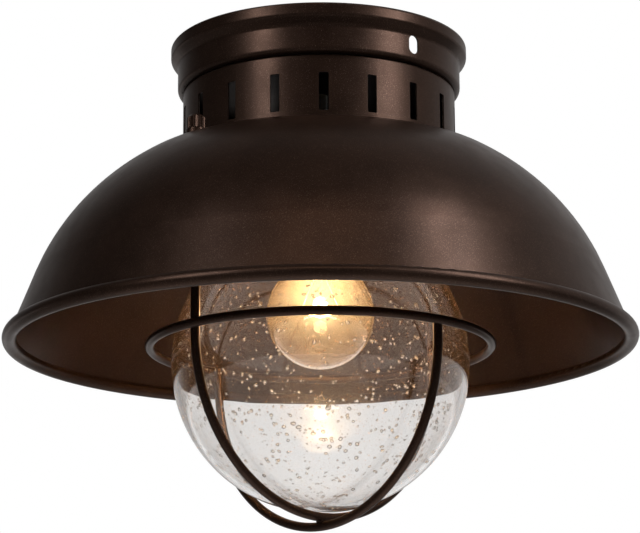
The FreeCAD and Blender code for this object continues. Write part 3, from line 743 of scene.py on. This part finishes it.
def rolled_shell(name, crest, wall, z_low, z_high, eye_r):
    """A drawn metal cup with a rounded thread and a turned-in edge above; open below."""
    def groove(z, angle):
        runout = (z_high - z) / LAMP_PITCH - LAMP_THREAD_RUNOUT
        fade = max(0.0, min(1.0, (z - z_low) / LAMP_PITCH, runout))
        wave = 0.5 - 0.5 * math.cos(2 * math.pi * (z / LAMP_PITCH - angle / (2 * math.pi)))
        return -LAMP_THREAD_DEPTH * fade * wave

    steps = math.ceil((z_high - z_low) / LAMP_PITCH * ROLLED_STEPS)
    levels = [z_low + (z_high - wall - z_low) * k / steps for k in range(steps + 1)]
    edge = [(crest - wall, z_high), (eye_r, z_high), (eye_r, z_high - wall),
            (crest - 2 * wall, z_high - wall)]
    bore = [(crest - wall, z) for z in levels[::-1][1:]]
    rings = [turned_ring(crest, z, ROLLED_SIDES, groove) for z in levels]
    rings += [turned_ring(r, z, ROLLED_SIDES) for r, z in edge + bore]
    return skin(name, rings, loop=True, crease=THREAD_EDGE)


low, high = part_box("screw_shell")
shell = rolled_shell("screw_shell_thread", high.x, SHELL_WALL, low.z, high.z, SHELL_EYE_R)
hang(shell, brass, "fixture")
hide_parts("screw_shell")


# ---- lamp cap and its contacts ---------------------------------------------------------------
# The lamp screws in by a thin nickel-plated cap with a rolled thread. A black glass insulator
# closes its top, and the current enters by an eyelet of solder.

CAP_METAL = (0.74, 0.72, 0.68)
CAP_DULL = (0.62, 0.60, 0.56)
CAP_GRAIN = 1.0e-3
CAP_ROUGH = (0.2, 0.38)
CAP_WALL = 0.35e-3
CAP_EYE_R = 9.0e-3
SOLDER = (0.62, 0.61, 0.60)
SOLDER_DULL = (0.45, 0.44, 0.43)
SOLDER_GRAIN = 0.8e-3
SOLDER_ROUGH = (0.35, 0.5)
INSULATOR_DARK = (0.006, 0.006, 0.007)
INSULATOR_PALE = (0.018, 0.017, 0.018)
INSULATOR_BLOTS = 2e-3
INSULATOR_ROUGH = (0.15, 0.3)

cap_metal = plated("lamp_cap_metal", CAP_METAL, CAP_DULL, CAP_GRAIN, CAP_ROUGH)
low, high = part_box("lamp_cap")
cap = rolled_shell("lamp_cap_thread", high.x, CAP_WALL, low.z, high.z, CAP_EYE_R)
hang(cap, cap_metal, "lamp")
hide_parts("lamp_cap")
dress("lamp_eyelet", plated("solder_tin", SOLDER, SOLDER_DULL, SOLDER_GRAIN, SOLDER_ROUGH))
black, shader = moulded("black_insulator", INSULATOR_DARK, INSULATOR_PALE, INSULATOR_BLOTS,
                        INSULATOR_ROUGH, INSULATOR_BLOTS)
dress("lamp_insulator", black)


# ---- lamp glass and filament -----------------------------------------------------------------
# Thin clear glass round a glass stem, which carries two nickel leads and a glowing tungsten coil.
# The lit glass has a soft golden glare and a faint haze with pin-points in it.

BULB_GLASS = (1.0, 0.98, 0.94)
BULB_INDEX = 1.45
BULB_GLARE = (1.0, 0.90, 0.68)
BULB_GLARE_SHARE = 0.030
BULB_GLARE_ROUGH = 0.42
HAZE = (1.0, 0.62, 0.30)
HAZE_SHARE = 0.007
HAZE_POINT = 0.22e-3
HAZE_POINT_SPACE = 1.5e-3
HAZE_POINT_SHARE = 0.30
STEM_GLASS = (0.95, 0.95, 0.93)
STEM_INDEX = 1.5
STEM_ROUGH = 0.02
NICKEL = (0.60, 0.57, 0.52)
NICKEL_DULL = (0.48, 0.45, 0.40)
NICKEL_GRAIN = 0.6e-3
NICKEL_ROUGH = (0.25, 0.4)
TUNGSTEN_DARK = (0.9, 0.5, 0.2)
TUNGSTEN_BRIGHT = (1.0, 0.7, 0.4)
TUNGSTEN_BLOTS = 0.4e-3
FILAMENT_GLOW = (1.0, 0.78, 0.46)
FILAMENT_STRENGTH = 560.0
COIL_R = 0.41e-3
COIL_WIRE_R = 0.13e-3
COIL_PITCH = 0.42e-3
COIL_STEPS = 14
COIL_SIDES = 6
COIL_EDGE = 80.0

thin_glass = clear_glass("lamp_glass", BULB_GLASS, BULB_INDEX, 0.0)
lay_over(thin_glass, BULB_GLARE_SHARE,
         put(thin_glass, "BsdfRefraction", Color=BULB_GLARE, Roughness=BULB_GLARE_ROUGH,
             IOR=GLARE_INDEX))
lay_over(thin_glass,
         pin_points(thin_glass, HAZE_SHARE, HAZE_POINT, HAZE_POINT_SPACE, HAZE_POINT_SHARE),
         put(thin_glass, "BsdfTranslucent", Color=HAZE))
dress("bulb_glass", thin_glass)
dress("lamp_stem", clear_glass("stem_glass", STEM_GLASS, STEM_INDEX, STEM_ROUGH))
nickel = plated("nickel_wire", NICKEL, NICKEL_DULL, NICKEL_GRAIN, NICKEL_ROUGH)
for name in ("lamp_lead_right", "lamp_lead_left"):
    dress(name, nickel)
tungsten, shader = new_finish("glowing_tungsten")
fill(tungsten, shader.inputs["Base Color"],
     between(tungsten, cloud(tungsten, TUNGSTEN_BLOTS), TUNGSTEN_DARK, TUNGSTEN_BRIGHT))
shader.inputs["Emission Color"].default_value = (*FILAMENT_GLOW, 1.0)
shader.inputs["Emission Strength"].default_value = FILAMENT_STRENGTH

# The coil hangs in a V from the tips of the two leads.

low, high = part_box("filament")
z_tip, z_dip = high.z - COIL_R - COIL_WIRE_R, low.z + COIL_R + COIL_WIRE_R
ends = [Vector((low.x + COIL_R, 0, z_tip)), Vector((0, 0, z_dip)), Vector((high.x - COIL_R, 0, z_tip))]
turns = int((ends[1] - ends[0]).length * 2 / COIL_PITCH)
across = Vector((0, 1, 0))
rings = []
for k in range(turns * COIL_STEPS + 1):
    share = k / (turns * COIL_STEPS)
    half, part = (0, share * 2) if share < 0.5 else (1, share * 2 - 1)
    along = (ends[half + 1] - ends[half]).normalized()
    middle = ends[half].lerp(ends[half + 1], part)
    turn = 2 * math.pi * k / COIL_STEPS
    out = along.cross(across) * math.cos(turn) + across * math.sin(turn)
    ring = []
    for i in range(COIL_SIDES):
        angle = 2 * math.pi * i / COIL_SIDES
        ring.append(middle + out * (COIL_R + COIL_WIRE_R * math.cos(angle))
                    + along * COIL_WIRE_R * math.sin(angle))
    rings.append(ring)
coil = skin("filament_coil", rings, caps=True, crease=COIL_EDGE)
hang(coil, tungsten, "lamp")
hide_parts("filament")


# ---- the room: floor and surround ------------------------------------------------------------
# A plain pale floor well below the lantern, and a white surround. The camera and clear glass see
# both as white. A reflection sees a screen that is bright behind the lantern and to its right and
# dim in front of it.

FLOOR_Z = -2.2
FLOOR_HALF = 30.0
FLOOR_DARK = (0.80, 0.80, 0.79)
FLOOR_PALE = (0.86, 0.86, 0.85)
FLOOR_BLOTS = 0.5
FLOOR_ROUGH = 0.9
FLOOR_WHITE = 0.92             # the share of plain white that the camera sees; the rest has shadow
FLOOR_MIRROR_FROM, FLOOR_MIRROR_TO = 4.0, 14.0
SCREEN_WHITE = 1.0
SCREEN_DIM, SCREEN_BRIGHT = 0.03, 0.6
SCREEN_LEAN = 0.6              # how far the bright side of the screen lies to the right
SCREEN_FILL = 0.16

corners = [(-1, -1), (1, -1), (1, 1), (-1, 1)]
ground = bmesh.new()
ground.faces.new([ground.verts.new((x * FLOOR_HALF, y * FLOOR_HALF, FLOOR_Z)) for x, y in corners])
floor = new_piece("floor", ground)
pale, shader = new_finish("pale_floor")
fill(pale, shader.inputs["Base Color"],
     between(pale, cloud(pale, FLOOR_BLOTS), FLOOR_DARK, FLOOR_PALE))
shader.inputs["Roughness"].default_value = FLOOR_ROUGH
rays = put(pale, "LightPath").outputs
place = put(pale, "SeparateXYZ", Vector=put(pale, "TexCoord").outputs["Object"]).outputs
far = graded(pale, place["Y"], FLOOR_MIRROR_FROM, FLOOR_MIRROR_TO, 0.0, 1.0)
seen = worked_out(pale, "MAXIMUM", rays["Is Camera Ray"], rays["Is Transmission Ray"])
mirrored = worked_out(pale, "MULTIPLY", rays["Is Glossy Ray"], far)
lay_over(pale, worked_out(pale, "MULTIPLY_ADD", seen, FLOOR_WHITE, mirrored),
         put(pale, "Emission", Color=(1, 1, 1), Strength=1.0))
floor.data.materials.append(pale)

world = bpy.data.worlds.new("surround")
world.use_nodes = True
world.node_tree.nodes.clear()
bpy.context.scene.world = world
rays = put(world, "LightPath").outputs
place = put(world, "SeparateXYZ", Vector=put(world, "TexCoord").outputs["Generated"]).outputs
behind = worked_out(world, "MULTIPLY_ADD", place["X"], SCREEN_LEAN, place["Y"])
screen = graded(world, behind, 0.0, 1.0, SCREEN_DIM, SCREEN_BRIGHT)
white = put(world, "Background", Color=(1, 1, 1), Strength=SCREEN_WHITE)
mirror = put(world, "Background", Color=(1, 1, 1), Strength=screen)
fill_light = put(world, "Background", Color=(1, 1, 1), Strength=SCREEN_FILL)
straight = worked_out(world, "LESS_THAN", rays["Glossy Depth"], 0.5)
through = worked_out(world, "MULTIPLY", rays["Is Transmission Ray"], straight)
seen = worked_out(world, "MAXIMUM", rays["Is Camera Ray"], through)
mirrored = worked_out(world, "MAXIMUM", rays["Is Glossy Ray"], rays["Is Transmission Ray"])
surround = mixed(world, seen, mixed(world, mirrored, fill_light, mirror), white)
put(world, "OutputWorld", Surface=surround)


# ---- the room: lights and camera -------------------------------------------------------------
# Tall soft lamps stand to the left and the right and a wide one in front, all aimed at the
# lantern. One more lights only the floor, and a small warm one sits in the lit filament.

AIM = (0, 0, -0.1)
WARM_WHITE = (1.0, 0.80, 0.62)
LAMPLIGHT = (1.0, 0.66, 0.34)
LAMPLIGHT_POWER = 0.40
LAMPLIGHT_R = 4e-3
LAMPLIGHT_RISE = 6e-3


def soft_lamp(name, place, aim, width, height, power, colour=(1, 1, 1)):
    """A rectangular studio lamp that is turned towards a point."""
    data = bpy.data.lights.new(name, "AREA")
    data.shape = "RECTANGLE"
    data.size, data.size_y = width, height
    data.energy, data.color = power, colour
    lamp = bpy.data.objects.new(name, data)
    lamp.location = place
    lamp.rotation_mode = "QUATERNION"
    lamp.rotation_quaternion = (Vector(aim) - Vector(place)).to_track_quat("-Z", "Y")
    bpy.context.scene.collection.objects.link(lamp)


soft_lamp("left_strip", (-1.50, -1.50, 1.00), AIM, width=0.60, height=1.4, power=20.0)
soft_lamp("right_strip", (1.80, -1.05, 1.20), AIM, width=0.80, height=1.9, power=48.0)
soft_lamp("front_box", (0.0, -1.50, 1.60), AIM, width=1.5, height=0.5, power=5.0, colour=WARM_WHITE)
soft_lamp("floor_wash", (0, 0.5, -1.3), (0, 0.5, FLOOR_Z), width=2.5, height=2.5, power=27.0)

glow = bpy.data.lights.new("filament_light", "POINT")
glow.energy, glow.color = LAMPLIGHT_POWER, LAMPLIGHT
glow.shadow_soft_size = LAMPLIGHT_R
low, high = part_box("filament")
glow_lamp = bpy.data.objects.new("filament_light", glow)
glow_lamp.location = (low + high) / 2 + UP * LAMPLIGHT_RISE
bpy.context.scene.collection.objects.link(glow_lamp)

# The camera stands below the lantern's level and looks up at it through a long lens.

LENS = 140.37e-3
SENSOR = 36e-3
CAMERA_PLACE = (0.0, -1.35128, -0.4523)
CAMERA_PITCH = 0.2369
CAMERA_ROLL = -0.0066
NEAR, FAR = 0.05, 100.0
GLASS_BOUNCES = 24
CLEAR_BOUNCES = 32

camera_data = bpy.data.cameras.new("camera")
camera_data.lens = LENS * 1000
camera_data.sensor_width = SENSOR * 1000
camera_data.sensor_fit = "HORIZONTAL"
camera_data.clip_start, camera_data.clip_end = NEAR, FAR
camera = bpy.data.objects.new("camera", camera_data)
bpy.context.scene.collection.objects.link(camera)
camera.matrix_world = (Matrix.Translation(CAMERA_PLACE)
                       @ Matrix.Rotation(math.pi / 2 + CAMERA_PITCH, 4, "X")
                       @ Matrix.Rotation(CAMERA_ROLL, 4, "Z"))
scene = bpy.context.scene
scene.camera = camera
scene.view_settings.view_transform = "Standard"
scene.cycles.max_bounces = GLASS_BOUNCES
scene.cycles.transmission_bounces = GLASS_BOUNCES
scene.cycles.transparent_max_bounces = CLEAR_BOUNCES

bpy.context.view_layer.update()
